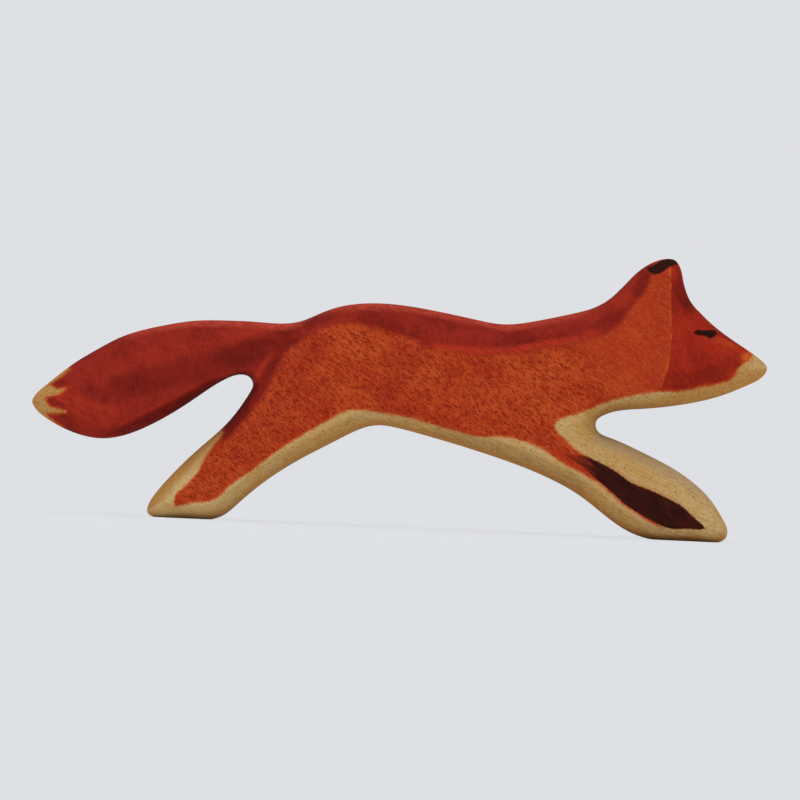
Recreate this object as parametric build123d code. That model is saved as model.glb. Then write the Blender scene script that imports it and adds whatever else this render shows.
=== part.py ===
from build123d import *

# Running fox figurine: one piece of maple sawn from a board, carved, sanded and painted.
# Millimetres. +X towards the nose, +Z up, the board's thickness along Y.
# The origin is on the ground, under the middle of the fox.

import os
from math import hypot, radians, tan

# Lengths, from the tail's tip to its root, on to the neck, and on to the nose
tail_length = 57.0
trunk_length = 82.0
head_length = 41.0

# How far the toes reach out, ahead of the neck and behind the tail's root
fore_leg_reach = 33.0
hind_leg_reach = 27.5

# Heights, from the ground to the belly, on to the back, and of the tail and the head by themselves
leg_height = 25.0
trunk_depth = 30.0
tail_depth = 30.0
head_height = 38.5

# How far the tail is set below the back, and how deep the neck is
tail_set = 6.0
neck_depth = 24.0

board_thickness = 22.0

# Sanded edges: how far the flat of each side lies inside the sawn outline
edge_width = 3.85

# Ears: a notch carved along the middle of the head parts the left ear from the right
notch_floor_width = 3.6
notch_floor_radius = 1.2
notch_side_slope = 12.0
notch_height = 16.0
notch_edge_radius = 1.0

# The saw cut starts and ends at the tail root, where its two ends meet in a faint corner
saw_corner = 1.0

# Opaque paint, brushed over the stained wood on both sides. It lies on a coat of stain.
paint_thickness = 0.12
stain_thickness = 0.03
paint_clear_of_notch = 0.9

# What cuts and paint outlines reach past the wood
overrun = 5.0

# The regions of the fox: where each starts, its length, where its lowest line is, and its height
length = tail_length + trunk_length + head_length
neck = tail_length + trunk_length
back_height = leg_height + trunk_depth
tail = (0, tail_length, back_height - tail_set - tail_depth, tail_depth)
trunk = (tail_length, trunk_length, leg_height, trunk_depth)
belly = (tail_length, trunk_length, 0, leg_height)
head = (neck, head_length, back_height - neck_depth, head_height)
fore_leg = (neck, fore_leg_reach, 0, leg_height)
hind_leg = (tail_length - hind_leg_reach, hind_leg_reach, 0, leg_height)

# The sawn outline, clockwise from the tail root, as shares of the region's length and height
back_shares = [
    (0.038, 0.795), (0.097, 0.821), (0.150, 0.886), (0.205, 0.948), (0.262, 0.983), (0.352, 0.997),
    (0.501, 0.955), (0.622, 0.900), (0.705, 0.872), (0.795, 0.906), (0.912, 0.985),
]
nape_shares = [(-0.045, 0.659), (0.056, 0.731), (0.197, 0.901)]
throat_shares = [(0.276, 0.025), (0.126, 0.005), (0.043, -0.024)]
chest_shares = [(0.995, 0.105), (1.002, 0.033), (1.035, -0.013)]
fore_leg_shares = [(0.310, 0.870), (0.528, 0.739), (0.724, 0.584), (0.882, 0.389)]
fore_sole_shares = [(0.773, -0.011), (0.599, -0.011), (0.413, 0.006), (0.272, 0.064)]
fore_leg_back_shares = [(0.097, 0.203), (-0.099, 0.389)]
belly_shares = [
    (0.855, 0.564), (0.686, 0.751), (0.453, 0.945), (0.396, 0.984), (0.334, 0.995), (0.280, 0.937),
    (0.227, 0.842),
]
thigh_shares = [(1.369, 0.648), (1.074, 0.428)]
hind_sole_shares = [(0.806, 0.167), (0.668, 0.039), (0.498, -0.011), (0.276, -0.011)]
hind_leg_shares = [(0.184, 0.398), (0.426, 0.681), (0.681, 0.959), (0.786, 1.115)]
tail_gap_shares = [(0.935, 0.416), (0.947, 0.490), (0.932, 0.544), (0.891, 0.562), (0.834, 0.525)]
tail_under_shares = [(0.692, 0.337), (0.553, 0.159), (0.474, 0.078)]
tail_top_shares = [
    (0.379, 0.833), (0.458, 0.889), (0.568, 0.944), (0.695, 0.988), (0.821, 1.000), (0.947, 1.000),
]

# Tips, where the flat of the side ends on a ridge and the wood gets thinner beyond it. The third
# share of each point says where along the ridge it arrives, and a ridge bends by its middle place.
ear_shares = [(0.293, 0.975, 0.00), (0.359, 0.998, 0.40), (0.416, 0.995, 0.70), (0.456, 0.946, 1.00)]
ear_ridge_shares = [(0.341, 0.888), (0.394, 0.913), (0.403, 0.863)]
muzzle_shares = [
    (0.482, 0.857, 0.04), (0.521, 0.740, 0.16), (0.596, 0.643, 0.27), (0.737, 0.523, 0.38),
    (0.886, 0.424, 0.48), (0.960, 0.370, 0.54), (1.000, 0.318, 0.60), (0.978, 0.267, 0.66),
    (0.903, 0.213, 0.73), (0.741, 0.134, 0.83), (0.513, 0.065, 0.95),
]
cheek_ridge_shares = [(0.403, 0.838), (0.420, 0.495), (0.368, 0.155)]
fore_toe_shares = [
    (0.964, 0.231, 0.00), (1.002, 0.111, 0.40), (0.992, 0.044, 0.70), (0.937, 0.000, 1.00),
]
fore_toe_ridge_shares = [(0.833, 0.242), (0.872, 0.167), (0.817, 0.142)]
hind_toe_shares = [
    (0.047, 0.003, 0.00), (0.001, 0.039, 0.33), (0.001, 0.097, 0.66), (0.047, 0.203, 1.00),
]
hind_toe_ridge_shares = [(0.236, 0.142), (0.164, 0.156), (0.236, 0.245)]
tail_tip_shares = [
    (0.398, 0.020, 0.00), (0.316, -0.010, 0.14), (0.231, 0.004, 0.26), (0.148, 0.052, 0.36),
    (0.057, 0.143, 0.44), (0.009, 0.224, 0.49), (0.000, 0.268, 0.53), (0.009, 0.314, 0.57),
    (0.051, 0.395, 0.64), (0.164, 0.581, 0.78), (0.275, 0.722, 0.93),
]
tail_ridge_shares = [(0.411, 0.171), (0.237, 0.177), (0.354, 0.669)]
notch_floor_shares = [(0.104, 0.783), (0.570, 0.666)]

# The painted marks
eye_shares = [
    (0.557, 0.523), (0.579, 0.541), (0.627, 0.538), (0.671, 0.540), (0.684, 0.525), (0.649, 0.493),
    (0.605, 0.509),
]
ear_mark_shares = [
    (0.245, 0.913), (0.276, 0.888), (0.324, 0.883), (0.372, 0.906), (0.420, 0.942), (0.473, 0.982),
    (0.412, 1.054), (0.320, 1.027), (0.262, 0.973),
]
leg_stripe_shares = [
    (-0.241, 0.812), (-0.121, 0.795), (-0.012, 0.753), (0.108, 0.681), (0.222, 0.575), (0.348, 0.539),
    (0.501, 0.475), (0.648, 0.381), (0.746, 0.289), (0.822, 0.139), (0.752, 0.120), (0.577, 0.117),
    (0.441, 0.192), (0.277, 0.309), (0.157, 0.428), (-0.045, 0.575), (-0.148, 0.695),
]

# The slices that make one half of the thickness, from the middle of the board to its side
slice_shares = (0.0, 0.35, 0.62, 0.82, 0.94, 1.0)
edge_reach_share = 0.97


def in_region(region, x_share, z_share):
    """A place on the side of the fox, from shares of a region's own length and height."""
    start, region_length, bottom, region_height = region
    return start + x_share * region_length - length / 2, bottom + z_share * region_height


def along_ridge(region, ridge_shares, along):
    """A place on a ridge, which bends from its first end to its last."""
    first, middle, last = [in_region(region, *shares) for shares in ridge_shares]
    return [
        a * (1 - along) ** 2 + 2 * b * along * (1 - along) + c * along**2
        for a, b, c in zip(first, middle, last)
    ]


def outline_points():
    """The sawn outline's points. Those of a tip also know where on its ridge they arrive."""
    stretches = [
        (None, [(trunk, back_shares), (head, nape_shares)]),
        (ear_ridge_shares, [(head, ear_shares)]),
        (cheek_ridge_shares, [(head, muzzle_shares)]),
        (None, [(head, throat_shares), (trunk, chest_shares)]),
        (None, [(fore_leg, fore_leg_shares)]),
        (fore_toe_ridge_shares, [(fore_leg, fore_toe_shares)]),
        (None, [(fore_leg, fore_sole_shares)]),
        (None, [(fore_leg, fore_leg_back_shares), (belly, belly_shares), (hind_leg, thigh_shares)]),
        (None, [(hind_leg, hind_sole_shares)]),
        (hind_toe_ridge_shares, [(hind_leg, hind_toe_shares)]),
        (None, [(hind_leg, hind_leg_shares)]),
        (None, [(tail, tail_gap_shares)]),
        (None, [(tail, tail_under_shares)]),
        (tail_ridge_shares, [(tail, tail_tip_shares)]),
        (None, [(tail, tail_top_shares)]),
    ]
    points = []
    starts = []
    for ridge_shares, tables in stretches:
        carved = ridge_shares in (cheek_ridge_shares, tail_ridge_shares)
        starts.append(len(points))
        for region, table in tables:
            for x_share, z_share, *along_share in table:
                on_ridge = along_ridge(region, ridge_shares, *along_share) if ridge_shares else None
                points.append((in_region(region, x_share, z_share), on_ridge, carved))
    return points, starts


def pace(places, steps, i):
    """How fast a smooth line through the places moves at place i, per millimetre of its steps."""
    count = len(places)
    before, here, after = places[i - 1], places[i % count], places[(i + 1) % count]
    back, ahead = steps[i - 1], steps[i % count]
    return [
        ((h - b) / back * ahead + (a - h) / ahead * back) / (back + ahead)
        for b, h, a in zip(before, here, after)
    ]


def rounded(depth_share):
    """How far the sanding has come in at this share of the half thickness: a fat quarter ellipse."""
    return 1 - (1 - (edge_reach_share * depth_share) ** 3) ** (1 / 3)


def slice_wire(depth_share, grown=0.0):
    """The wood's outline in the slice at this share of the half thickness, in smooth stretches."""
    points, starts = outline_points()
    count = len(points)
    sawn = [point[0] for point in points]
    steps = [hypot(b[0] - a[0], b[1] - a[1]) for a, b in zip(sawn, sawn[1:] + sawn[:1])]
    sanded = rounded(abs(depth_share)) / rounded(1)
    places = []
    for i, (here, on_ridge, carved) in enumerate(points):
        along = pace(sawn, steps, i)
        inward = (along[1] / hypot(*along), -along[0] / hypot(*along))
        if on_ridge:
            travel = depth_share**2 if carved else sanded
            place = [h + (r - h) * travel for h, r in zip(here, on_ridge)]
        else:
            place = [h + n * edge_width * sanded for h, n in zip(here, inward)]
        places.append([p - n * grown for p, n in zip(place, inward)])
    y = depth_share * (board_thickness / 2 + grown)
    stretches = []
    for start, stop in zip(starts, starts[1:] + [count]):
        stretch = [(places[i % count][0], y, places[i % count][1]) for i in range(start, stop + 1)]
        knots = [sum(steps[start:i]) for i in range(start, stop + 1)]
        ends = [pace(places, steps, i) for i in (start, stop)]
        ends = [Vector(x, 0, z) for x, z in ends]
        if start == 0:
            ends[0] = ends[0].rotate(Axis.Y, saw_corner)
        stretches.append(Edge.make_spline(stretch, tangents=ends, parameters=knots, scale=False))
    return Wire(stretches)


def blank(grown=0.0):
    """The board sawn to the outline, with its edges sanded and its tips carved thinner."""
    near_half = [-share for share in slice_shares[:0:-1]]
    return Solid.make_loft([slice_wire(share, grown) for share in near_half + list(slice_shares)])


def ear_notch():
    """The cut between the ears: a straight floor from the nape to the forehead, and sloping sides."""
    ends = [in_region(head, *shares) for shares in notch_floor_shares]
    nape, forehead = [Vector(x, 0, z) for x, z in ends]
    along = (forehead - nape).normalized()
    across = Plane(origin=nape - along * overrun, x_dir=(0, 1, 0), z_dir=along)
    floor = notch_floor_width / 2
    mouth = floor + notch_height * tan(radians(notch_side_slope))
    section = Polygon((-floor, 0), (floor, 0), (mouth, notch_height), (-mouth, notch_height), align=None)
    section = fillet(section.vertices().sort_by(Axis.Y)[:2], notch_floor_radius)
    return extrude(across * section, (forehead - nape).length + 2 * overrun, dir=along)


def wood(board):
    """The fox's wood: the board with its soles sanded flat and its ears parted."""
    middle = (Align.CENTER, Align.CENTER, Align.MAX)
    ground = Box(length + overrun, board_thickness + overrun, overrun, align=middle)
    level = board - ground
    notch = ear_notch()
    fox = level - notch
    rim = [edge for edge in new_edges(level, notch, combined=fox) if edge.geom_type != GeomType.LINE]
    return fox.fillet(notch_edge_radius, rim)


def paint(region, mark_shares, side, inner, painted, stained):
    """A mark's film of paint on one side: what the paint adds to the stain inside the mark's outline."""
    places = [in_region(region, *shares) for shares in mark_shares]
    outline = Edge.make_spline([(x, side * inner, z) for x, z in places], periodic=True)
    reach = extrude(Face(Wire(outline)), board_thickness / 2 + overrun - inner, dir=(0, side, 0))
    return (painted & reach) - stained


def main():
    fox = wood(blank())
    painted = blank(stain_thickness + paint_thickness)
    stained = blank(stain_thickness)
    notch_mouth = notch_floor_width / 2 + notch_height * tan(radians(notch_side_slope))
    marks = {
        "eye": (head, eye_shares, 0),
        "ear_mark": (head, ear_mark_shares, notch_mouth + paint_clear_of_notch),
        "leg_stripe": (fore_leg, leg_stripe_shares, 0),
    }
    parts = {"wooden_body": fox}
    for side, side_name in ((-1, "right"), (1, "left")):
        for mark, (region, mark_shares, inner) in marks.items():
            parts[f"{side_name}_{mark}"] = paint(region, mark_shares, side, inner, painted, stained)
    os.makedirs("parts", exist_ok=True)
    for name, part in parts.items():
        print(name, "valid", part.is_valid, "solids", len(part.solids()), "volume", round(part.volume, 2))
        export_step(part, f"parts/{name}.step")


if __name__ == "__main__":
    main()
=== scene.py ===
import math
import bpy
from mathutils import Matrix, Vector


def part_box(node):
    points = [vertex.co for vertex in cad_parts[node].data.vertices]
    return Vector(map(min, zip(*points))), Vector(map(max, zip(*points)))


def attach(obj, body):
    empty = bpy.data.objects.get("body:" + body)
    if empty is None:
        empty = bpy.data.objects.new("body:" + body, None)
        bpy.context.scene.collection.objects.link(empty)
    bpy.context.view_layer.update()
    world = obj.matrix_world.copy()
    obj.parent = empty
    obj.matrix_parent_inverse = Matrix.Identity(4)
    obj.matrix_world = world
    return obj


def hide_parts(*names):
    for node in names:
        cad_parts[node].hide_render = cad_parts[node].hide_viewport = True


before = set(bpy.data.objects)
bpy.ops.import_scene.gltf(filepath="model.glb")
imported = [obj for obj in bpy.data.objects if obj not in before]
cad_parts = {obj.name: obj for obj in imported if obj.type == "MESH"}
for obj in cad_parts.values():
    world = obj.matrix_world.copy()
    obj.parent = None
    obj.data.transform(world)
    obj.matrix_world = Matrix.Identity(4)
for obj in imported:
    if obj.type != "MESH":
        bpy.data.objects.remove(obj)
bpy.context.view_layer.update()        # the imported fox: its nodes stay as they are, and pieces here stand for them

from types import SimpleNamespace

import bmesh
import bpy
import numpy as np
from mathutils import Matrix, Vector
from mathutils.geometry import delaunay_2d_cdt

woodLow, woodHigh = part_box("wooden_body")
metre = 0.001        # the fox is worked out in millimetres and written in metres

# The fox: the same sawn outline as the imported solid, as shares of its length and height
fox = {
    "length": (woodHigh.x - woodLow.x) / metre,
    "height": 69.5,        # of the sawn outline's own measure, up to the ears
    "halfBoard": woodHigh.y / metre,
    "edgeWidth": 3.85,        # how far the flat of a side lies inside the sawn outline
    "edgeReach": 0.965,        # how much of a quarter circle the rounding of the edge takes up
    "crotch": (0.272, 0.500),        # where the tail leaves the haunch, the sanding is narrower
    "crotchReach": 8.0,
    "crotchNarrowing": 0.88,
    "rows": 1150,        # rows of the surface round the outline
    "depthSteps": 160,        # steps in which the rounding of an edge is worked out
    "walkSteps": 400,        # and those in which the way round it is measured
    "capSpacing": 0.62,        # spacing of the points on the flats
    "markSpacing": 0.33,        # and of those under and round the dark marks
    "markMargin": 0.9,        # how far round a mark they reach
    "pointClear": 0.6,        # how many spacings the points keep off the flat's edge
    "weld": 0.002,        # points nearer than this become one
    "sliver": 0.0001,        # and faces thinner than this go
}
outline = [        # (how its points come in towards the flat, points, ridge that a tip's points end on)
    ("sanded", [(0.334, 0.703), (0.361, 0.714), (0.385, 0.742), (0.410, 0.769), (0.436, 0.784),
                (0.477, 0.790), (0.545, 0.772), (0.600, 0.748), (0.638, 0.736), (0.679, 0.751),
                (0.732, 0.785), (0.762, 0.811), (0.785, 0.851), (0.817, 0.945)], None),
    ("tip", [(0.839, 0.986, 0.00), (0.854, 0.999, 0.40), (0.867, 0.997, 0.70), (0.876, 0.970, 1.00)],
     [(0.850, 0.938), (0.862, 0.952), (0.864, 0.924)]),
    ("carved", [(0.882, 0.921, 0.04), (0.891, 0.856, 0.16), (0.908, 0.802, 0.27), (0.940, 0.736, 0.38),
                (0.974, 0.681, 0.48), (0.991, 0.651, 0.54), (1.000, 0.622, 0.60), (0.995, 0.594, 0.66),
                (0.978, 0.564, 0.73), (0.941, 0.520, 0.83), (0.889, 0.482, 0.95)],
     [(0.864, 0.910), (0.868, 0.720), (0.856, 0.532)]),
    ("sanded", [(0.835, 0.460), (0.801, 0.449), (0.782, 0.433), (0.770, 0.405), (0.773, 0.374),
                (0.788, 0.354), (0.829, 0.313), (0.869, 0.266), (0.905, 0.210), (0.934, 0.140)], None),
    ("tip", [(0.949, 0.083, 0.00), (0.956, 0.040, 0.40), (0.954, 0.016, 0.70), (0.944, 0.000, 1.00)],
     [(0.925, 0.087), (0.932, 0.060), (0.922, 0.051)]),
    ("sanded", [(0.914, -0.004), (0.882, -0.004), (0.848, 0.002), (0.822, 0.023), (0.790, 0.073),
                (0.754, 0.140), (0.706, 0.203), (0.629, 0.270), (0.523, 0.340), (0.497, 0.354),
                (0.469, 0.358), (0.444, 0.337), (0.420, 0.303), (0.373, 0.233), (0.328, 0.154),
                (0.287, 0.060), (0.266, 0.014), (0.240, -0.004), (0.206, -0.004)], None),
    ("tip", [(0.171, 0.001, 0.00), (0.164, 0.014, 0.33), (0.164, 0.035, 0.66), (0.171, 0.073, 1.00)],
     [(0.200, 0.051), (0.189, 0.056), (0.200, 0.088)]),
    ("sanded", [(0.192, 0.143), (0.229, 0.245), (0.268, 0.345), (0.284, 0.401), (0.296, 0.453),
                (0.300, 0.485), (0.295, 0.508), (0.282, 0.516), (0.264, 0.500), (0.219, 0.419),
                (0.175, 0.342), (0.150, 0.307)], None),
    ("carved", [(0.126, 0.282, 0.00), (0.100, 0.269, 0.14), (0.073, 0.275, 0.26), (0.047, 0.296, 0.36),
                (0.018, 0.335, 0.44), (0.003, 0.370, 0.49), (0.000, 0.389, 0.53), (0.003, 0.409, 0.57),
                (0.016, 0.444, 0.64), (0.052, 0.524, 0.78), (0.087, 0.585, 0.93)],
     [(0.130, 0.347), (0.075, 0.350), (0.112, 0.562)]),
    ("sanded", [(0.120, 0.633), (0.145, 0.657), (0.180, 0.681), (0.220, 0.700), (0.260, 0.705),
                (0.300, 0.705)], None),
]
notch = {        # the cut between the ears
    "floorEnds": [(0.796, 0.880), (0.902, 0.815)],        # as shares, behind and before the ears
    "floorHalf": 1.8,        # half the width of its floor
    "sideSlope": math.radians(12),
    "rimRadius": 1.0,
    "floorRadius": 1.2,
    "columns": (11, 4, 7, 3, 3),        # on the side, the rim, the wall, the foot of the wall and the floor
    "fade": 6.0,        # how far outside the notch the columns spread out again
    "beyond": 8.0,        # and how far past the ends of its floor
}

photo = {        # how the photograph's pixels lie against the fox
    "slope": math.radians(2.6),        # of the ground, down to the right
    "pixel": 0.24571784,        # its length in millimetres
    "middle": 416.6438,        # of the fox, in pixels along that slope
    "ground": -509.2816,        # in pixels across it
    "width": 800,
}


def fromPhoto(pixels):
    # places on the side of the fox, in millimetres, from pixels of the photograph
    x, y = np.asarray(pixels, float)[..., 0], np.asarray(pixels, float)[..., 1]
    across = x * math.cos(photo["slope"]) + y * math.sin(photo["slope"]) - photo["middle"]
    up = x * math.sin(photo["slope"]) - y * math.cos(photo["slope"]) - photo["ground"]
    return np.stack([across, up], -1) * photo["pixel"]


def fromShares(shares):
    # places on the side of the fox, in millimetres, from shares of its length and height
    shares = np.asarray(shares, float)
    return np.stack([(shares[..., 0] - 0.5) * fox["length"], shares[..., 1] * fox["height"]], -1)


def outlinePoints():
    # the sawn points, where each tip's points end on its ridge, a curve (1-a)^2 first + 2a(1-a) middle +
    # a^2 last, and which points are of a tip and which of them are carved
    sawn, ridge, tip, carved = [], [], [], []
    for how, points, ridgeShares in outline:
        points = np.array(points)
        sawn.append(fromShares(points[:, :2]))
        if ridgeShares:
            first, middle, last = fromShares(ridgeShares)
            a = points[:, 2:3]
            ridge.append(first * (1 - a) ** 2 + 2 * middle * a * (1 - a) + last * a**2)
        else:
            ridge.append(sawn[-1])
        tip.append(np.full(len(points), how != "sanded"))
        carved.append(np.full(len(points), how == "carved"))
    return np.concatenate(sawn), np.concatenate(ridge), np.concatenate(tip), np.concatenate(carved)


def eased(share):
    # a smooth start and end for a share that goes from nothing to 1
    return share**2 * (3 - 2 * share)


def sanded(depth):
    # how far the sanding has come in at a depth share: most of a quarter ellipse, 1 at the flat
    reach = fox["edgeReach"]
    return (1 - np.sqrt(1 - (reach * depth) ** 2)) / (1 - math.sqrt(1 - reach**2))


def closedSpline(values, steps, at):
    # a closed cubic spline through the values, whose second derivatives solve one cyclic system
    count = len(values)
    before = np.roll(steps, 1)
    rows = np.arange(count)
    system = np.zeros((count, count))
    system[rows, rows] = 2 * (before + steps)
    system[rows, (rows + 1) % count] += steps
    system[rows, (rows - 1) % count] += before
    rise = (np.roll(values, -1, 0) - values) / steps[:, None]
    bend = np.linalg.solve(system, 6 * (rise - np.roll(rise, 1, 0)))
    knots = np.concatenate([[0], np.cumsum(steps)])
    i = np.clip(np.searchsorted(knots, at, side="right") - 1, 0, count - 1)
    j = (i + 1) % count
    h, left, right = steps[i][:, None], (at - knots[i])[:, None], (knots[i + 1] - at)[:, None]
    return (bend[i] * right**3 + bend[j] * left**3) / (6 * h) + (
        values[i] / h - bend[i] * h / 6) * right + (values[j] / h - bend[j] * h / 6) * left


def boardSurface(depths):
    # the sanded board: (row round the outline, depth share) to a place on the side view. Each sawn point
    # goes inwards by the edge's width times the sanding, or towards its ridge, and splines join the points
    sawn, ridge, tip, carved = outlinePoints()
    ahead = np.roll(sawn, -1, 0) - sawn
    steps = np.hypot(*ahead.T)
    behind, before = np.roll(ahead, 1, 0), np.roll(steps, 1)
    along = behind / before[:, None] ** 2 + ahead / steps[:, None] ** 2
    along *= (before * steps / (before + steps))[:, None]
    inward = np.stack([along[:, 1], -along[:, 0]], 1) / np.hypot(*along.T)[:, None]
    inShare = np.where(carved[:, None], depths[None] ** 2, sanded(depths)[None])
    fromCrotch = np.hypot(*(sawn - fromShares(fox["crotch"])).T) / fox["crotchReach"]
    width = fox["edgeWidth"] * (1 - fox["crotchNarrowing"] * np.exp(-fromCrotch**2))
    to = np.where(tip[:, None], ridge - sawn, inward * width[:, None])
    places = sawn[:, None] + to[:, None] * inShare[..., None]
    at = np.arange(fox["rows"]) * steps.sum() / fox["rows"]
    flat = closedSpline(places.reshape(len(places), -1), steps, at)
    return flat.reshape(fox["rows"], len(depths), 2)


def atDepth(surface, depth):
    # the surface's places at each row's own depth shares, between its worked-out steps
    step = depth * (surface.shape[1] - 1)
    low = np.clip(step.astype(int), 0, surface.shape[1] - 2)
    share = (step - low)[..., None]
    row = np.arange(len(surface))[:, None]
    return surface[row, low] * (1 - share) + surface[row, low + 1] * share


def sideShares(count):
    # shares of the way from the flat to the middle, evenly spaced along the rounded edge
    depth = np.linspace(1, 0, fox["walkSteps"])
    walk = np.hypot(np.diff(depth) * fox["halfBoard"], np.diff(sanded(depth)) * fox["edgeWidth"])
    walk = np.concatenate([[0], np.cumsum(walk)])
    return (1 - np.interp(np.linspace(0, walk[-1], count), walk, depth))[None]


def notchColumns(heights):
    # for each row, how far from the middle each column lies and how far it drops below the board:
    # down the side, round the rim, down the sloping wall, round its foot and across the floor
    side, rim, wall, foot, floor = notch["columns"]
    slope, half, board = notch["sideSlope"], notch["floorHalf"], fox["halfBoard"]
    turn = math.pi / 2 - slope
    tallest = notch["rimRadius"] * (1 - math.cos(turn)) + notch["floorRadius"] * (1 - math.sin(slope))
    size = np.clip(heights / tallest, 0, 1)[:, None]
    rimRadius, footRadius = notch["rimRadius"] * size, notch["floorRadius"] * size
    tall = heights[:, None]
    edge = half + tall * math.tan(slope)
    start = edge + rimRadius * math.tan(turn / 2)
    profile = sideShares(side)
    y = [board + (start - board) * profile]
    drop = [np.zeros((len(heights), side))]
    angle = np.linspace(0, turn, rim + 1)[None, 1:]
    y.append(start - rimRadius * np.sin(angle))
    drop.append(rimRadius * (1 - np.cos(angle)))
    top, low = drop[-1][:, -1:], tall - footRadius * (1 - math.sin(slope))
    down = top + (low - top) * np.linspace(0, 1, wall + 1)[None, 1:]
    y.append(edge - down * math.tan(slope))
    drop.append(down)
    angle = np.linspace(-slope, -math.pi / 2, foot + 1)[None, 1:]
    y.append(half - footRadius * math.tan(turn / 2) + footRadius * np.cos(angle))
    drop.append(tall - footRadius * (1 + np.sin(angle)))
    across = y[-1][:, -1:] * np.linspace(1, 0, floor + 1)[None, 1:]
    y.append(across)
    drop.append(np.broadcast_to(tall, across.shape))
    return np.concatenate(y, 1), np.concatenate(drop, 1)


def foxSurface():
    # the whole strip round the outline, from the right flat's edge to the left one's: the board's places
    # at each column's own depth, lowered by the notch, whose columns fade into even ones outside it
    depths = np.linspace(0, 1, fox["depthSteps"])
    surface = boardSurface(depths)
    ends = fromShares(notch["floorEnds"])
    floorLength = np.hypot(*(ends[1] - ends[0]))
    along = (ends[1] - ends[0]) / floorLength
    up = np.array([-along[1], along[0]])
    height = (surface[:, 0] - ends[0]) @ up
    reach = (surface[:, 0] - ends[0]) @ along
    beside = (reach > -notch["beyond"]) & (reach < floorLength + notch["beyond"])
    outside = np.where(beside, -height, np.inf)
    inNotch = np.clip(-outside, 0, None)
    y, drop = notchColumns(inNotch)
    regular = fox["halfBoard"] * (1 - sideShares(y.shape[1]))
    spread = eased(np.clip(outside / notch["fade"], 0, 1))[:, None]
    y = y * (1 - spread) + regular * spread
    place = atDepth(surface, y / fox["halfBoard"]) - drop[..., None] * up
    place[..., 1] = np.maximum(place[..., 1], 0)        # the soles are sanded flat on the ground
    right = np.stack([place[..., 0], -y, place[..., 1]], -1)
    left = np.stack([place[..., 0], y, place[..., 1]], -1)
    return np.concatenate([right, left[:, -2::-1]], 1)


def lattice(low, high, gap):
    # points of a triangle grid between two corners
    rows = np.arange(low[1], high[1], gap * math.sqrt(0.75))
    columns = np.arange(low[0], high[0], gap)
    x = columns[None] + (np.arange(len(rows)) % 2)[:, None] * gap / 2
    return np.stack([x, np.broadcast_to(rows[:, None], x.shape)], -1).reshape(-1, 2)


def flatPoints(loop):
    # points inside a closed line, kept a little clear of it, and closer together round the dark marks
    margin, wide, close = fox["markMargin"], fox["capSpacing"], fox["markSpacing"]
    coarse, fine = lattice(loop.min(0), loop.max(0), wide), []
    for name in marks:
        mark = smoothLoop(paint[name], 2)
        near = lattice(mark.min(0) - margin, mark.max(0) + margin, close)
        fine.append(near[signedDistance(near, mark) < margin])
        coarse = coarse[signedDistance(coarse, mark) > margin + close]
    kept = [points[signedDistance(points, loop) < -spacing * fox["pointClear"]]
            for points, spacing in ((coarse, wide), (np.concatenate(fine), close))]
    return np.concatenate(kept)


def signedDistance(places, loop):
    # how far each place is from a closed line of straight steps, less than zero inside it: the nearest
    # place on any step, with the sign from how often the line passes on the place's right
    a, b = loop, np.roll(loop, -1, 0)
    step = b - a
    keep = (step**2).sum(1) > 1e-12        # a step with no length has no direction
    a, b, step = a[keep], b[keep], step[keep]
    size = (step**2).sum(1)
    rise = np.where(step[:, 1] == 0, 1, step[:, 1])
    found = np.empty(len(places))
    batches = len(places) // 4000 + 1        # so many that one fits in little memory
    for part in np.array_split(np.arange(len(places)), batches):
        p = places[part][:, None]
        t = np.clip(((p - a) * step).sum(2) / size, 0, 1)
        near = ((p - a - t[..., None] * step) ** 2).sum(2).min(1)
        crossing = a[:, 0] + (p[..., 1] - a[:, 1]) * step[:, 0] / rise
        passed = ((a[:, 1] > p[..., 1]) != (b[:, 1] > p[..., 1])) & (p[..., 0] < crossing)
        found[part] = np.sqrt(near) * np.where(passed.sum(1) % 2 == 1, -1, 1)
    return found


def foxMesh():
    # the strip's grid of four-sided faces and a triangulated flat on each side, joined and closed
    strip = foxSurface()
    rows, columns = strip.shape[:2]
    number = np.arange(rows * columns).reshape(rows, columns)
    after = np.roll(number, -1, 0)
    faces = np.stack([number[:, :-1], after[:, :-1], after[:, 1:], number[:, 1:]], -1).reshape(-1, 4)
    faces = faces.tolist()
    points = [strip.reshape(-1, 3)]
    total = rows * columns
    for column in (0, columns - 1):
        loop = strip[:, column][:, [0, 2]]
        given = [Vector(p) for p in np.concatenate([loop, flatPoints(loop)]).tolist()]
        flat, _, triangles, origins = delaunay_2d_cdt(given, [], [list(range(rows))], 1, 1e-7)[:4]
        # a point of the flat's edge keeps the strip's number for it, and one inside gets a new number
        origin = np.array([of[0] if of else -1 for of in origins])
        isEdge = (origin >= 0) & (origin < rows)
        names = np.empty(len(origin), int)
        names[isEdge] = number[origin[isEdge], column]
        names[~isEdge] = total + np.arange((~isEdge).sum())
        inside = np.array(flat)[~isEdge]
        points.append(np.stack([inside[:, 0], np.full(len(inside), strip[0, column, 1]), inside[:, 1]], -1))
        total += len(inside)
        faces += names[np.array(triangles)].tolist()
    mesh = bpy.data.meshes.new("foxBody")
    mesh.from_pydata((np.concatenate(points) * metre).tolist(), [], faces)
    tidy = bmesh.new()
    tidy.from_mesh(mesh)
    bmesh.ops.remove_doubles(tidy, verts=tidy.verts, dist=fox["weld"] * metre)
    bmesh.ops.dissolve_degenerate(tidy, edges=tidy.edges, dist=fox["sliver"] * metre)
    bmesh.ops.recalc_face_normals(tidy, faces=tidy.faces)
    print("open edges", sum(not e.is_manifold for e in tidy.edges), "volume", tidy.calc_volume() / metre**3)
    tidy.to_mesh(mesh)
    tidy.free()
    mesh.shade_smooth()
    return mesh


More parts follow.
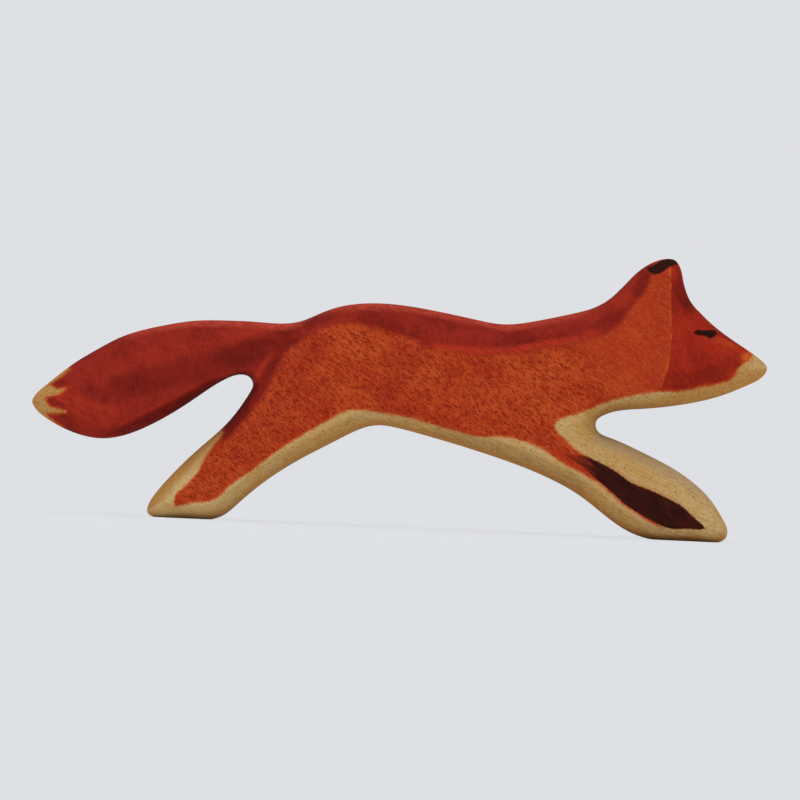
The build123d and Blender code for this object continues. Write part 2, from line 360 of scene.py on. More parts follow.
def arrays(mesh):
    # the mesh's vertices in millimetres and its vertex normals
    places = np.empty(len(mesh.vertices) * 3)
    normals = np.empty(len(mesh.vertices) * 3)
    mesh.vertices.foreach_get("co", places)
    mesh.vertices.foreach_get("normal", normals)
    return places.reshape(-1, 3) / metre, normals.reshape(-1, 3)


def addObject(name, data):
    # a mesh, a lamp or a camera, put into the scene
    made = bpy.data.objects.new(name, data)
    bpy.context.scene.collection.objects.link(made)
    return made


paint = {        # where the painter's brush went, on the fox's right side, in pixels of the photograph
    # the stained part: along the belly and the fore leg, the throat and the chin, then round outside
    "stained": [
        (223, 431), (212, 447), (201, 466), (186, 485), (174, 502), (175, 505), (184, 505), (201, 502),
        (217, 499), (227, 489), (240, 479), (255, 469), (270, 457), (296, 439.5), (330, 419.5),
        (342, 413), (355, 410.6), (381, 413), (412, 418.6), (440, 426.7), (462, 433), (480, 437.3),
        (498.7, 436.7), (519, 440), (541, 449), (554, 458), (568, 466.7), (589, 478), (615, 494),
        (631, 507), (652, 520), (670, 528.6), (686, 528), (703, 528), (692, 517.5), (679, 506),
        (662, 497.5), (645, 489.5), (628, 482), (611, 470), (594, 460), (579, 452), (563, 437),
        (554, 425), (576, 414), (600, 405), (631, 396), (662, 392), (690, 390.6), (701.5, 387.7),
        (716, 385), (724, 382.6), (730, 380), (735, 374.5), (737.6, 369), (744, 363.6), (749.7, 360),
        (752.6, 355), (762, 342), (700, 235), (630, 225), (420, 270), (200, 290), (50, 340), (5, 400),
        (50, 460), (150, 470), (205, 425)
    ],
    # the bare tip of the tail, with the brush's teeth
    "tailTip": [
        (70, 368.5), (63, 375), (51, 383), (49.5, 385), (55, 388.6), (60, 389.2), (66, 388),
        (62.5, 391), (59, 394), (54, 395), (43.7, 397), (47, 403), (51, 407), (56, 409), (66, 411.5),
        (60, 412.6), (54, 412.8), (45.4, 413.3), (51, 419.6), (57, 424.5), (62, 427), (50, 440),
        (15, 430), (15, 375), (60, 355)
    ],
    # the deep red: the tail, the edge over the hind leg, the back and the nape
    "deepRed": [
        (221, 442), (237, 429), (250, 414), (265, 393), (275, 373), (289, 350), (308, 337), (326, 328),
        (349, 324), (377, 328), (403, 336), (424, 347), (445, 351), (466, 355), (492, 355.5),
        (530, 352), (560, 346), (582, 341), (601, 337), (616, 327), (626, 316), (634, 304), (642, 296),
        (649, 284), (652, 272), (655, 250), (600, 235), (420, 270), (200, 290), (50, 340), (5, 400),
        (50, 460), (150, 470), (205, 435)
    ],
    # the face, in front of the cheek's ridge
    "face": [
        (670, 262), (669.5, 280), (669.4, 300), (670, 330), (669, 352), (665, 372), (661, 386),
        (660, 402), (700, 402), (780, 372), (780, 330), (720, 260), (690, 240)
    ],
    # the dark marks
    "eye": [
        (692.4, 333.4), (696.5, 330.0), (704, 330.7), (714, 330.5), (716.6, 333.6), (712.8, 337.2),
        (708.9, 338.9), (705.4, 337.2), (700.6, 335.6)
    ],
    "earMark": [
        (646.3, 269), (649.8, 266.7), (656.8, 262.8), (662.4, 260), (669, 258.9), (675.5, 260.3),
        (677.6, 263), (672.2, 266), (666.6, 268.8), (661, 273), (655.4, 274.8), (649.8, 273.7)
    ],
    "legStripe": [
        (556, 451.5), (569, 454.5), (582, 455.2), (596, 460.8), (616.5, 472.3), (630.5, 482.3),
        (648.4, 489.5), (667.5, 498.6), (680, 505.3), (693, 517), (703.5, 528), (687, 528.3),
        (670, 528.4), (652, 521), (634, 510.6), (621.6, 501.6), (606, 487.6), (591, 475), (578, 463.5),
        (566, 457)
    ],
}
strokes = {        # softer strokes: (pixels along the stroke, half its width in pixels, strength)
    "light": [
        # the next three: painted highlights along the tail's upper ridge, a thin and a broad one, and along its
        # lower ridge
        ([(165, 349), (190, 345), (222, 342)], 1.8, 0.5),        # the tail
        ([(120, 368), (160, 352), (240, 336), (300, 332)], 8, 0.25),
        ([(112, 428), (138, 416), (172, 399), (206, 382)], 2.2, 0.6),
        ([(106, 438), (118, 437), (131, 434)], 2.2, 0.8),
        ([(66, 398), (88, 412), (108, 416)], 12, 0.6),
        ([(250, 394), (254.5, 382), (263, 366), (272, 353), (280, 346)], 2.2, 0.6),        # its crotch
        # the back, the nape, the haunch and the flank
        ([(385, 336), (430, 346), (470, 351), (505, 351), (560, 342), (606, 330)], 3.5, 0.85),
        ([(590, 318), (625, 300), (640, 284)], 6, 0.4),
        ([(345, 344), (374, 346)], 15, 0.6),
        ([(405, 372), (432, 364)], 13, 0.35),
        ([(508, 366), (556, 374)], 17, 0.4),
        ([(540, 409), (580, 403)], 9, 0.6),        # the chest and the throat
        ([(606, 411), (640, 402), (704, 395)], 5, 0.5),
        ([(736, 363), (745, 357.5), (753, 352.5), (764, 346)], 3.8, 1.5),        # the muzzle
        ([(712, 336), (738, 350)], 3.2, 0.45),
        ([(211, 450), (200, 467)], 2.6, 0.9),        # the hind leg
        ([(615, 452), (650, 461), (672, 468)], 4.5, 0.7),        # the fore leg
    ],
    "dark": [
        ([(424, 350), (400, 374), (384, 397)], 9, 0.55),        # the flank
        ([(491, 355), (491, 387)], 1.6, 0.35),
        ([(370, 405), (400, 408), (441, 422)], 2.6, 0.8),
        ([(120, 388), (150, 382), (225, 362)], 12, 0.65),        # the tail
        ([(222, 362), (262, 348), (290, 338)], 12, 0.85),
        # the tail's lower edge, below its lower ridge: dark paint, and painted shade where it faces down
        ([(96, 443), (120, 433.5), (146, 421.5), (170, 409.5), (202, 392), (224, 381), (246, 370)],
         5.9, 0.95),
        ([(240, 450), (270, 414), (296, 376), (312, 352)], 11, 0.5),        # its crotch and the haunch
        ([(228, 434), (247, 408), (264, 386), (276, 368), (286, 354)], 7.5, 0.8),
        ([(298, 330), (318, 319), (345, 312)], 5, 0.6),
        ([(645, 279), (637, 291)], 6.5, 0.95),        # behind the ear
        ([(650, 284), (662, 297)], 5, 0.5),
        ([(632, 299), (622, 311)], 4, 0.3),
        ([(560, 336), (600, 323), (618, 310)], 6, 0.3),        # the nape
        ([(540, 442), (565, 454), (590, 466)], 4.5, 0.7),        # above the leg stripe
        ([(696, 377), (718, 370), (734, 361)], 7, 0.5),        # the face
        ([(716, 329), (734, 343)], 3, 0.4),
        ([(675, 274), (681, 296), (695, 318)], 5.5, 1.1),
        ([(668, 380), (690, 383)], 8, 0.4),
        ([(664, 284), (659, 330), (654, 382)], 9, 0.42),        # the cheek
        ([(345, 425), (352, 418)], 1.8, 0.4),        # the bare belly
        # along the bare belly's lower edge: painted shade
        ([(440, 430), (480, 442), (530, 459), (578, 485)], 8, 0.3),
    ],
    "bleed": [        # the leg stripe's lower edge and its upper one
        ([(540, 446), (560, 462), (580, 476), (606, 496), (630, 513), (652, 526)], 8, 1.0),
        ([(590, 455), (630, 478), (668, 497), (703, 524)], 5.5, 0.35),
    ],
}
strokeEdge = {
    "reach": 1.5,        # where its colour ends, in half widths
    "runOut": 6,        # how far a thin stroke runs out at its ends, in half widths
    "thin": 6,        # the half width in pixels below which a stroke is a thin one
}
marks = {        # the dark films: how thick, over which width they thin out, and how far from the middle
    "eye": {"thick": 0.12, "fade": 0.35, "clear": 1.0},
    "earMark": {"thick": 0.12, "fade": 0.5, "clear": 4.6},
    "legStripe": {"thick": 0.12, "fade": 0.7, "clear": 1.0},
}
filmEdge = {
    "margin": 0.8,        # how much of the finely meshed margin round a mark the film takes up
    "runOut": -0.6,        # how many thicknesses its top lies over the wood at its very edge
    "under": 0.25,        # how far its underside lies inside the wood
}
painted = ("stained", "deepRed", "face", "facing", "mark", *strokes)        # what the materials read


def smoothLoop(pixels, finer):
    # a closed line through the pixels, rounded between them where it has finer steps, in millimetres
    places = fromPhoto(pixels)
    steps = np.hypot(*(np.roll(places, -1, 0) - places).T)
    knots = np.concatenate([[0], np.cumsum(steps)])
    at = np.interp(np.arange(len(places) * finer) / finer, np.arange(len(places) + 1), knots)
    return closedSpline(places, steps, at)


def strokeShare(places, pixels, half, strength):
    # how much of a soft stroke lies at each place: full in its middle, nothing beyond its reach, and running
    # out towards its ends where it is a thin one
    line, wide = fromPhoto(pixels), half * photo["pixel"]
    near, at, walked = np.full(len(places), np.inf), np.zeros(len(places)), 0.0
    for start, move in zip(line[:-1], np.diff(line, axis=0)):
        t = np.clip(((places - start) @ move) / (move @ move), 0, 1)
        gap = np.hypot(*(places - start - t[:, None] * move).T)
        at = np.where(gap < near, walked + t * np.hypot(*move), at)
        near, walked = np.minimum(near, gap), walked + np.hypot(*move)
    share = np.clip(strokeEdge["reach"] - near / wide, 0, 1)
    if half < strokeEdge["thin"]:
        share *= np.clip(np.minimum(at, walked - at) / min(strokeEdge["runOut"] * wide, walked / 3), 0, 1)
    return strength * eased(share)


def addAttribute(mesh, name, values):
    # one number at each vertex, for the materials to read
    values = np.ascontiguousarray(values, np.float32)
    mesh.attributes.new(name, "FLOAT", "POINT").data.foreach_set("value", values)


def readAttribute(mesh, name):
    # the numbers that an attribute has at the vertices
    values = np.empty(len(mesh.vertices), np.float32)
    mesh.attributes[name].data.foreach_get("value", values)
    return values


def paintAttributes(mesh):
    # how deep each vertex lies inside every painted part, in millimetres, and how strong the strongest
    # stroke of each kind is there
    places, normals = arrays(mesh)
    side = places[:, [0, 2]]
    # the brush's teeth at the tail's tip stay sharp, and the other parts' edges are rounded
    depth = {name: -signedDistance(side, smoothLoop(pixels, 1 if name == "tailTip" else 3))
             for name, pixels in paint.items()}
    addAttribute(mesh, "stained", np.minimum(depth["stained"], -depth["tailTip"]))
    addAttribute(mesh, "deepRed", depth["deepRed"])
    addAttribute(mesh, "face", depth["face"])
    # which way each place faces: the materials paint highlights, a grey sheen and shade from it
    addAttribute(mesh, "facing", normals[:, 2])        # 1 where it faces up, -1 where it faces down
    depth["earMark"] = np.minimum(depth["earMark"], np.abs(places[:, 1]) - marks["earMark"]["clear"])
    addAttribute(mesh, "mark", np.max([depth[name] for name in marks], 0))
    for name in marks:
        addAttribute(mesh, name, depth[name])
    for name, made in strokes.items():
        addAttribute(mesh, name, np.max([strokeShare(side, *stroke) for stroke in made], 0))
    print("painted", len(paint), "parts and", sum(map(len, strokes.values())), "strokes")


def markFilm(mesh, name, node, side):
    # the body's own faces inside a mark, lifted by the film's thickness, which runs out to less than
    # nothing at its edge, and closed by a sheet below the wood and by a wall all round
    made = marks[name]
    places, normals = arrays(mesh)
    depth = readAttribute(mesh, name)
    mesh.calc_loop_triangles()
    corners = np.empty(len(mesh.loop_triangles) * 3, int)
    mesh.loop_triangles.foreach_get("vertices", corners)
    corners = corners.reshape(-1, 3)
    inside = (depth > -fox["markMargin"] * filmEdge["margin"]) & (places[:, 1] * side > 0)
    corners = corners[inside[corners].all(1)]
    used, corners = np.unique(corners, return_inverse=True)
    corners = corners.reshape(-1, 3)
    lift = np.clip(depth[used] / made["fade"], filmEdge["runOut"], 1) * made["thick"]
    top = places[used] + normals[used] * lift[:, None]
    under = places[used] - normals[used] * filmEdge["under"]
    edges = np.concatenate([corners[:, [0, 1]], corners[:, [1, 2]], corners[:, [2, 0]]])
    _, first, count = np.unique(np.sort(edges, 1), axis=0, return_index=True, return_counts=True)
    rim = edges[first[count == 1]]
    wall = np.stack([rim[:, 1], rim[:, 0], rim[:, 0] + len(used), rim[:, 1] + len(used)], 1)
    sheet = bpy.data.meshes.new(node)
    faces = corners.tolist() + (corners[:, ::-1] + len(used)).tolist() + wall.tolist()
    sheet.from_pydata((np.concatenate([top, under]) * metre).tolist(), [], faces)
    sheet.shade_smooth()
    for kept in painted:
        addAttribute(sheet, kept, np.tile(readAttribute(mesh, kept)[used], 2))
    return addObject(node, sheet)


class Wire:
    # a value on its way through a material: sums on it add Math nodes, and node() adds any other node

    def __init__(self, tree, socket=None):
        self.tree, self.socket = tree, socket

    def node(self, kind, settings=None, sockets=None, out=0):
        # a new node of any kind: its settings first, then the values or links of its sockets
        made = self.tree.nodes.new("ShaderNode" + kind)
        for name, value in (settings or {}).items():
            setattr(made, name, value)
        for name, value in (sockets or {}).items():
            if isinstance(value, Wire):
                self.tree.links.new(value.socket, made.inputs[name])
            else:
                made.inputs[name].default_value = value
        return Wire(self.tree, made.outputs[out] if made.outputs else None)

    def sum(self, operation, *values):
        return self.node("Math", {"operation": operation}, dict(enumerate(values)))

    def __add__(self, other):
        return self.sum("ADD", self, other)

    def __sub__(self, other):
        return self.sum("SUBTRACT", self, other)

    def __rsub__(self, other):
        return self.sum("SUBTRACT", other, self)

    def __mul__(self, other):
        return self.sum("MULTIPLY", self, other)

    __radd__, __rmul__ = __add__, __mul__

    def ramp(self, low, high, first=0.0, last=1.0):
        # this value's smooth way from first, at low, to last, at high
        return self.node("MapRange", {"interpolation_type": "SMOOTHSTEP"},
                         {0: self, 1: low, 2: high, 3: first, 4: last})

    def fall(self, low, high):
        # its smooth way down, from 1 at low to nothing at high
        return self.ramp(low, high, 1.0, 0.0)

    def over(self, under, colour):
        # a colour laid over another where this value is 1
        return self.node("Mix", {"data_type": "RGBA"}, {0: self, 6: under, 7: colour}, 2)


def shade(red, green, blue):
    # a colour as a screen shows it, turned into the light that Blender works with
    share = np.array([red, green, blue]) / 255
    return (*np.where(share > 0.04045, ((share + 0.055) / 1.055) ** 2.4, share / 12.92).tolist(), 1.0)


def newMaterial(name):
    # an empty material, and the wire that its nodes start from
    material = bpy.data.materials.new(name)
    material.use_nodes = True
    material.node_tree.nodes.clear()
    return material, Wire(material.node_tree)


def grain(board, place, length, width, angle=0.0, depth=None, detail=2.0, shift=0.0, rough=0.5):
    # noise whose lumps are so many millimetres long and wide, turned down to the right by the angle
    turned = board.node("Mapping", {"vector_type": "TEXTURE"}, {
        "Vector": place,
        "Location": (shift, shift * 0.7, -shift),
        "Scale": (length, depth or (length * width) ** 0.5, width),
        "Rotation": (0, math.radians(angle), 0)})
    return board.node("TexNoise", {"noise_dimensions": "3D"},
                      {"Vector": turned, "Scale": 1.0, "Detail": detail, "Roughness": rough})


stain = {        # the colours, as the photograph shows them: the painter's, and a few that are painted light and shade
    "wood": shade(182, 144, 87),
    "woodPale": shade(184, 152, 98),
    "woodPalest": shade(194, 164, 114),
    "woodOchre": shade(184, 138, 68),
    "woodEdgeShade": shade(178, 127, 69),
    "woodStreak": shade(154, 110, 56),
    "woodBrown": shade(120, 80, 40),
    "woodPaintedSheen": shade(160, 144, 122),
    "pore": shade(122, 82, 38),
    "fringe": shade(184, 78, 32),
    "orange": shade(176, 68, 31),
    "orangeRed": shade(160, 49, 25),
    "orangeLight": shade(184, 80, 34),
    "mottle": shade(140, 36, 18),
    "fleck": shade(116, 26, 16),
    "dash": shade(190, 88, 44),
    "red": shade(145, 40, 28),
    "redDark": shade(94, 23, 19),
    "redDarkest": shade(72, 21, 18),
    "redLight": shade(172, 50, 31),
    "redPaintedHighlight": shade(176, 64, 46),
    "ridge": shade(186, 82, 38),
    "face": shade(158, 41, 24),
    "faceDark": shade(128, 30, 20),
    "darkBrown": shade(50, 22, 17),
    "darkest": shade(42, 17, 13),
    "darkRed": shade(72, 25, 18),
    "bleed": shade(162, 50, 24),
}
grains = {        # the noises: how long and wide their lumps are, in millimetres, and turned by which angle
    "hair": {"length": 0.9, "width": 0.15, "angle": 32, "detail": 3, "rough": 0.6},
    "wobble": {"length": 3.5, "width": 2.5, "angle": 20, "shift": 31},
    "cloud": {"length": 11, "width": 7, "angle": 25, "detail": 3, "shift": 7},
    "patch": {"length": 5, "width": 3.2, "angle": 40, "shift": 53},
    "streak": {"length": 4.2, "width": 0.4, "angle": 20, "detail": 3, "shift": 3},
    "fine": {"length": 2.0, "width": 0.24, "angle": 30, "detail": 3, "shift": 29},
    "pores": {"length": 0.85, "width": 0.22, "angle": 33, "shift": 17},
    "uneven": {"length": 4.5, "width": 0.7, "angle": 28, "shift": 83},
    "wear": {"length": 7, "width": 3, "angle": 28, "shift": 89},
    "brush": {"length": 6, "width": 0.8, "angle": 38, "shift": 11},
    "mottle": {"length": 1.9, "width": 0.9, "angle": 38, "depth": 1.2,
               "detail": 3, "shift": 47, "rough": 0.6},
    "fleck": {"length": 0.92, "width": 0.26, "angle": 37, "depth": 0.42,
              "detail": 3, "shift": 23, "rough": 0.6},
    "dash": {"length": 1.0, "width": 0.22, "angle": 38, "depth": 0.4, "detail": 3, "shift": 41},
    "upright": {"length": 2.6, "width": 0.42, "angle": 84, "detail": 3, "shift": 61},
    "level": {"length": 2.8, "width": 0.38, "angle": 4, "detail": 3, "shift": 67},
    "dots": {"length": 0.5, "width": 0.4, "angle": 10, "depth": 0.4, "detail": 1, "shift": 71},
    "drag": {"length": 5, "width": 0.7, "angle": 33, "detail": 3, "shift": 5},
}
where = {        # from and to, in millimetres, where a look fades in or out
    # along the fox, from its middle
    "hindLegs": (-60, -20),
    "paleHind": (-60, -15),
    "brownHind": (-20, 0),
    "stripe": (37, 50),
    "foreLegs": (40, 50),
    "foreToes": (52, 84),
    "eyes": (67, 69),
    # up from the ground
    "hindFeet": (12, 26),
    "chin": (29, 32),
    "belly": (30, 36),
    "cheek": (36, 42),
    # along and up together, towards the head
    "fewFlecks": (84, 98),
    # across, from the middle of the board
    "edge": (6.1, 9.2),
    # inside a painted edge, where less than nothing is outside it
    "palest": (-2.8, -1.2),
    "stained": (-0.3, 0.35),
    "fringe": (0.0, 0.8),
    "deepRed": (-0.7, 0.8),
    "face": (-0.15, 0.25),
    "ridge": (0.08, 0.36),
    "mark": (-0.15, 0.15),
    "bleed": (-0.35, 0.0),
    "halo": (-0.95, -0.15),
}
fray = {        # how far the brush's hairs and its wavering move a painted edge, in millimetres
    "stained": (2.1, 0.7),
    "deepRed": (2.4, 1.2),
    "face": (0.5, 0.0),
    "ridge": (0.3, 0.0),
    "mark": (1.0, 0.0),
}
satin = {
    "bumpStrength": 0.25,
    "bumpDepth": 0.00004,        # in metres
    "roughness": (0.6, 0.74),
    "specular": 0.005,
}


def materialFields(board):
    # what the coats are worked out from: the place on the fox in millimetres, the painted attributes and
    # the noises. The light and dark strokes are uneven ones, and a softer form of the dark ones is kept too; the
    # dark strokes are dark paint, and painted shade along the tail's and the belly's lower edges
    place = board.node("VectorMath", {"operation": "SCALE"},
                       {0: board.node("TexCoord", out=3), "Scale": 1 / metre})
    on = SimpleNamespace(**{name: grain(board, place, **given) for name, given in grains.items()})
    for name in painted:
        given = {"attribute_type": "GEOMETRY", "attribute_name": name}
        setattr(on, name, board.node("Attribute", given, out=2))
    for axis, name in enumerate(("along", "across", "up")):
        setattr(on, name, board.node("SeparateXYZ", sockets={0: place}, out=axis))
    on.low = on.up.fall(*where["belly"])
    on.uneven = on.uneven.ramp(0.36, 0.62, 0.5, 1.15)
    on.worn = on.dark * on.wear.ramp(0.34, 0.62, 0.7, 1.1)
    on.light, on.dark = on.light * on.uneven, on.dark * on.uneven
    return on


def frayed(on, distance, edge):
    # how far inside a painted edge a place lies, once the brush's hairs and wavering have moved the edge
    hairs, wavering = fray[edge]
    distance = distance + (on.hair - 0.5) * hairs
    return distance + (on.wobble - 0.5) * wavering if wavering else distance


def laid(colour, *layers):
    # colours laid over each other, each where its own value is 1
    for share, name in layers:
        colour = share.over(colour, stain[name])
    return colour


def bareWood(board, on):
    # paler beside the stain and at the fore toes; paler on the hind feet and under the chin, painted light against
    # their shade; browner towards the middle of its lower and hind edges, most where they face down, which is
    # partly painted shade; and a painted grey sheen on top of the fore legs. The hind feet have less of the grain
    # and no brown
    hindFoot = on.along.fall(*where["hindLegs"]) * on.up.fall(*where["hindFeet"])
    behind = hindFoot * on.facing.ramp(0.05, 0.3)
    edge = (board.sum("ABSOLUTE", on.across) - behind * 1.6 + (on.patch - 0.5) * 5).fall(*where["edge"])
    edge = edge * board.sum("MAXIMUM", on.facing.ramp(-0.5, 0.0, 1.0, 0.2),
                            on.along.fall(*where["brownHind"]))
    edge = edge * (1 - hindFoot * on.facing.ramp(-0.3, 0.2, 0.75, 0.0))
    beside = (on.stained + (on.patch - 0.5) * 2).ramp(*where["palest"]) * on.low
    foreLeg, plain = on.along.ramp(*where["foreLegs"]), 1 - hindFoot * 0.6
    return laid(
        stain["wood"],
        (on.cloud.ramp(0.42, 0.62), "woodPale"),
        (on.along.ramp(*where["foreToes"]) * on.low * 0.8, "woodPalest"),
        (beside * on.along.ramp(*where["paleHind"], 0.8, 0.3), "woodPalest"),
        # painted light: the hind feet paler except where they face up, and the chin paler, against the shade near
        # the floor and under the chin
        ((hindFoot - behind) * 0.9, "woodPalest"),
        (foreLeg * on.up.ramp(*where["chin"]) * 0.45, "woodPalest"),
        # partly painted shade: the rounded edges browner, most where they face down
        (edge * 0.85, "woodEdgeShade"),
        (on.patch.ramp(0.5, 0.68) * 0.4 + on.light * 0.8, "woodOchre"),
        ((on.streak.ramp(0.48, 0.7) * 0.4 + on.fine.ramp(0.5, 0.66) * 0.35) * plain, "woodStreak"),
        (on.pores.ramp(0.53, 0.63) * (0.55 + edge * 0.1) * plain, "pore"),
        # a painted grey sheen: a reflection on top of the fore legs, where they face up
        (on.facing.ramp(0.52, 0.84) * foreLeg * on.low * 0.42, "woodPaintedSheen"),
        # the dark strokes; along the belly's lower edge they are painted shade
        (on.dark * 0.8, "woodBrown"),
    )


def orangeCoat(on):
    # orange with light dashes and dark flecks, which get fewer towards the head
    many = (on.along + on.up).ramp(*where["fewFlecks"], 1.0, 0.3)
    return laid(
        stain["orangeRed"],
        (on.cloud.ramp(0.3, 0.65) * many.ramp(0.3, 1.0, 0.35, 1.0), "orange"),
        (on.patch.ramp(0.5, 0.7) * 0.25 + on.light * 0.7, "orangeLight"),
        (on.brush.ramp(0.5, 0.68) * 0.25 + on.dark * 0.75, "red"),
        (on.dash.ramp(0.52, 0.66) * 0.5, "dash"),
        (on.mottle.ramp(0.45, 0.66) * 0.5 * many, "mottle"),
        (on.fleck.ramp(0.48, 0.62) * 0.82 * many, "fleck"),
    )


def redCoat(on):
    # deep red, brushed both up and along, with dots and darker strokes; on the tail its lighter strokes are painted
    # highlights along the ridges and its darkest ones partly painted shade under the lower edge, and a painted
    # highlight lies where it faces up
    brushed = on.upright.ramp(0.46, 0.66) * 0.27 + on.level.ramp(0.46, 0.66) * 0.2
    return laid(
        stain["red"],
        (on.cloud.ramp(0.35, 0.6, 0.5, 0.06) + brushed, "redDark"),
        (on.light * 0.9, "redLight"),
        (on.dots.ramp(0.34, 0.26) * 0.35, "redLight"),
        (on.worn * 0.75, "redDark"),
        (on.worn.ramp(0.85, 1.5, 0.0, 0.8), "redDarkest"),
        (on.dots.ramp(0.66, 0.76) * 0.4, "darkRed"),
        # a painted highlight where the deep red faces up
        (on.facing.ramp(0.84, 0.98) * on.uneven * 0.8, "redPaintedHighlight"),
    )


def faceCoat(on):
    # a smoother red, darker in clouds and strokes
    brushed = on.upright.ramp(0.42, 0.66) * 0.35 + on.brush.ramp(0.48, 0.6) * 0.3
    return laid(
        stain["face"],
        (on.cloud.ramp(0.4, 0.65) * 0.5 + brushed, "faceDark"),
        (on.dash.ramp(0.55, 0.66) * 0.3, "orange"),
        (on.light * 0.8, "orangeLight"),
        (on.worn * 0.7, "redDark"),
    )


def stainCoats(board, on, wood):
    # the face begins at the cheek's ridge, along which a thin lighter line is painted as a highlight on
    # the crease, and the deep red lies over both.
    # At the edge of the stain only a thin orange fringe is left, in hairs over the bare wood
    ahead = frayed(on, on.face, "face").ramp(*where["face"])
    ridge = board.sum("ABSOLUTE", frayed(on, on.face, "ridge")).ramp(*where["ridge"], 0.75, 0.0)
    ridge = ridge * on.wobble.ramp(0.42, 0.58, 0.2, 1.0) * on.up.ramp(*where["cheek"])
    coat = laid(ahead.over(orangeCoat(on), faceCoat(on)), (ridge, "ridge"))
    coat = frayed(on, on.deepRed, "deepRed").ramp(*where["deepRed"]).over(coat, redCoat(on))
    depth = frayed(on, on.stained, "stained")
    coat = laid(coat, (depth.ramp(*where["fringe"], 0.7, 0.0), "fringe"))
    return depth.ramp(*where["stained"]).over(wood, coat)


def darkMarks(board, on, colour):
    # the dark paint, the red that bleeds out of the leg stripe, and the stripe's thin beginning
    mark = frayed(on, on.mark, "mark")
    halo = mark.ramp(*where["halo"]) * on.wobble.ramp(0.38, 0.6, 0.5, 1.0)
    bleeding = (mark.ramp(*where["bleed"]) * 0.15 + on.bleed * halo) * on.low
    eyes = on.along.ramp(*where["eyes"]) * (1 - on.low)
    black = laid(
        stain["darkBrown"],
        (board.sum("MAXIMUM", on.drag.ramp(0.4, 0.7), eyes), "darkest"),
        (on.patch.ramp(0.45, 0.7) * on.low * 0.5, "darkRed"),
    )
    begun = (on.along + (on.drag - 0.5) * 11).ramp(*where["stripe"])
    return (mark.ramp(*where["mark"]) * begun).over(laid(colour, (bleeding, "bleed")), black)


def paintedWood(name):
    # pale wood under translucent stain, with the dark marks on top
    material, board = newMaterial(name)
    on = materialFields(board)
    colour = darkMarks(board, on, stainCoats(board, on, bareWood(board, on)))
    bump = board.node("Bump", sockets={
        "Strength": satin["bumpStrength"], "Distance": satin["bumpDepth"],
        "Height": on.streak * 0.5 + on.fleck * 0.4 + on.hair * 0.3})
    surface = board.node("BsdfPrincipled", sockets={
        "Base Color": colour, "Roughness": on.streak.ramp(0.3, 0.7, *satin["roughness"]),
        "Normal": bump, "Specular IOR Level": satin["specular"]})
    board.node("OutputMaterial", sockets={"Surface": surface})
    print("material", name, len(material.node_tree.nodes), "nodes")
    return material


studio = {        # distances in metres
    "backdrop": shade(222, 224, 228),
    "floor": shade(246, 247, 249),
    "floorReach": 6.0,
    "floorRings": 24,
    "floorSpokes": 96,
    "floorShade": (0.12, 0.5, 0.14, 0.0),        # how much of its real light shows, near the fox and far off
    "world": shade(246, 248, 252),
    "worldLight": 0.88,
    "lamps": {        # place, width and power in watts
        "topLamp": ((-0.15, -0.75, 1.25), 0.9, 5.4),
        "frontLamp": ((0.2, -1.7, 0.35), 1.0, 2.4),
    },
    "lampsAimAt": (0, 0, 0.03),
    "cameraDistance": 3.0,
    "cameraFilm": 36,        # in millimetres
    "cameraReach": 20,
    "centrePixel": (400, 400),
}


def seenStraight(board):
    # 1 for a ray from the camera, and for one that a gloss or a glass sends on
    seen, gloss, glass = [board.node("LightPath", out=f"Is {ray} Ray")
                          for ray in ("Camera", "Glossy", "Transmission")]
    return board.sum("MAXIMUM", seen, board.sum("MAXIMUM", gloss, glass))


def studioFloor():
    # a round floor, worked out as rings of points; it shows the backdrop's colour and the fox's shadow
    reach = np.linspace(0, 1, studio["floorRings"]) ** 2 * studio["floorReach"]
    turn = np.linspace(0, 2 * math.pi, studio["floorSpokes"], endpoint=False)
    ring, turn = np.meshgrid(reach, turn, indexing="ij")
    places = np.stack([ring * np.cos(turn), ring * np.sin(turn), np.zeros_like(ring)], -1).reshape(-1, 3)
    number = np.arange(ring.size).reshape(ring.shape)
    after = np.roll(number, -1, 1)
    faces = np.stack([number[:-1], number[1:], after[1:], after[:-1]], -1).reshape(-1, 4)
    mesh = bpy.data.meshes.new("studioFloor")
    mesh.from_pydata(places.tolist(), [], faces.tolist())
    floor = addObject("studioFloor", mesh)
    material, board = newMaterial("paleFloor")
    distance = board.node("VectorMath", {"operation": "LENGTH"}, {0: board.node("TexCoord", out=3)}, out=1)
    seen = seenStraight(board)
    matt = board.node("BsdfDiffuse", sockets={"Color": seen.over(studio["floor"], studio["backdrop"])})
    glow = board.node("Emission", sockets={"Color": studio["backdrop"], "Strength": 1.0})
    glowing = seen * (1 - distance.ramp(*studio["floorShade"]))
    mixed = board.node("MixShader", sockets={0: glowing, 1: matt, 2: glow})
    board.node("OutputMaterial", sockets={"Surface": mixed})
    mesh.materials.append(material)


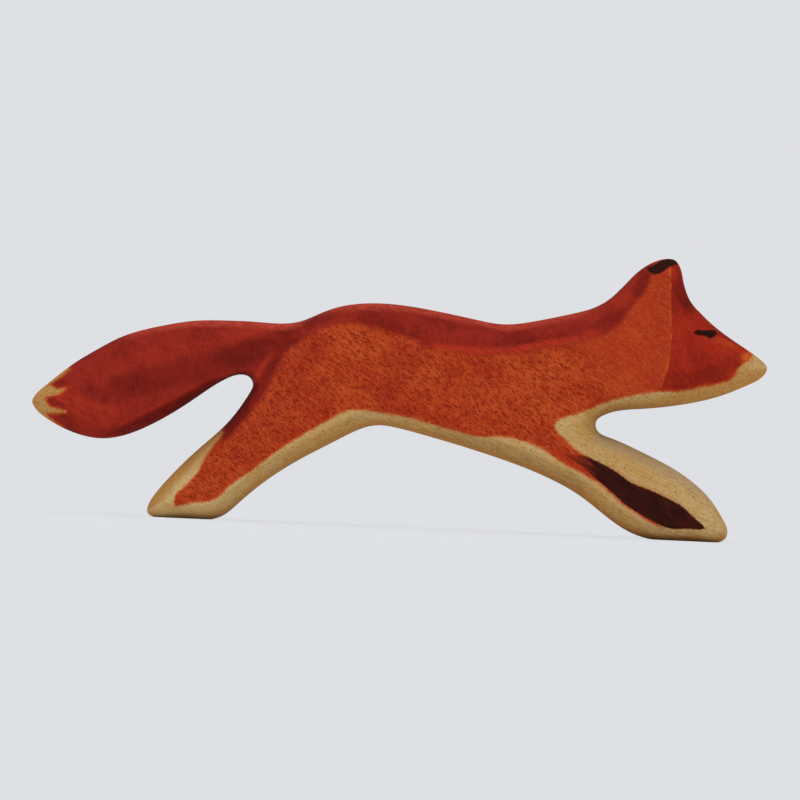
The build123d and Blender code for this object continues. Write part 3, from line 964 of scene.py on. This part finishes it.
def studioLight():
    # an even pale world, seen as the backdrop, and two broad soft lamps above and before the fox
    world = bpy.data.worlds.new("paleRoom")
    world.use_nodes = True
    world.node_tree.nodes.clear()
    board = Wire(world.node_tree)
    dim = board.node("Background", sockets={"Color": studio["world"], "Strength": studio["worldLight"]})
    plain = board.node("Background", sockets={"Color": studio["backdrop"], "Strength": 1.0})
    mixed = board.node("MixShader", sockets={0: seenStraight(board), 1: dim, 2: plain})
    board.node("OutputWorld", sockets={"Surface": mixed})
    bpy.context.scene.world = world
    for name, (place, size, power) in studio["lamps"].items():
        lamp = bpy.data.lights.new(name, "AREA")
        lamp.shape, lamp.size, lamp.energy = "DISK", size, power
        holder = addObject(name, lamp)
        holder.location = place
        towards = Vector(studio["lampsAimAt"]) - Vector(place)
        holder.rotation_euler = towards.to_track_quat("-Z", "Y").to_euler()


def photoCamera():
    # level, square to the fox's side, and turned by the slope of the photograph's ground
    centre = fromPhoto(studio["centrePixel"]) * metre
    lens = bpy.data.cameras.new("photoCamera")
    lens.sensor_width = studio["cameraFilm"]
    frameWidth = photo["width"] * photo["pixel"] * metre
    lens.lens = studio["cameraFilm"] * studio["cameraDistance"] / frameWidth
    lens.clip_end = studio["cameraReach"]
    camera = addObject("photoCamera", lens)
    slope = photo["slope"]
    right, up = Vector((math.cos(slope), 0, math.sin(slope))), Vector((-math.sin(slope), 0, math.cos(slope)))
    turn = Matrix((right, up, Vector((0, -1, 0)))).transposed().to_4x4()
    camera.matrix_world = Matrix.Translation((centre[0], -studio["cameraDistance"], centre[1])) @ turn
    bpy.context.scene.camera = camera


mesh = foxMesh()
paintAttributes(mesh)
mesh.materials.append(paintedWood("stainedWood"))
body = addObject("foxBody", mesh)
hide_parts("wooden_body")
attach(body, "root")
print("body", len(mesh.vertices), "vertices", sum(len(p.vertices) - 2 for p in mesh.polygons), "triangles")

darkPaint = paintedWood("darkPaint")
for name, ending in (("eye", "eye"), ("earMark", "ear_mark"), ("legStripe", "leg_stripe")):
    for half, side in (("right", -1), ("left", 1)):
        film = markFilm(mesh, name, half + name[0].upper() + name[1:], side)
        film.data.materials.append(darkPaint)
        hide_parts(half + "_" + ending)
        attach(film, "root")
        print(film.name, len(film.data.polygons), "faces")

studioFloor()
studioLight()
photoCamera()
view = bpy.context.scene.view_settings
view.view_transform = "Standard"
print("floor, light and camera ready")
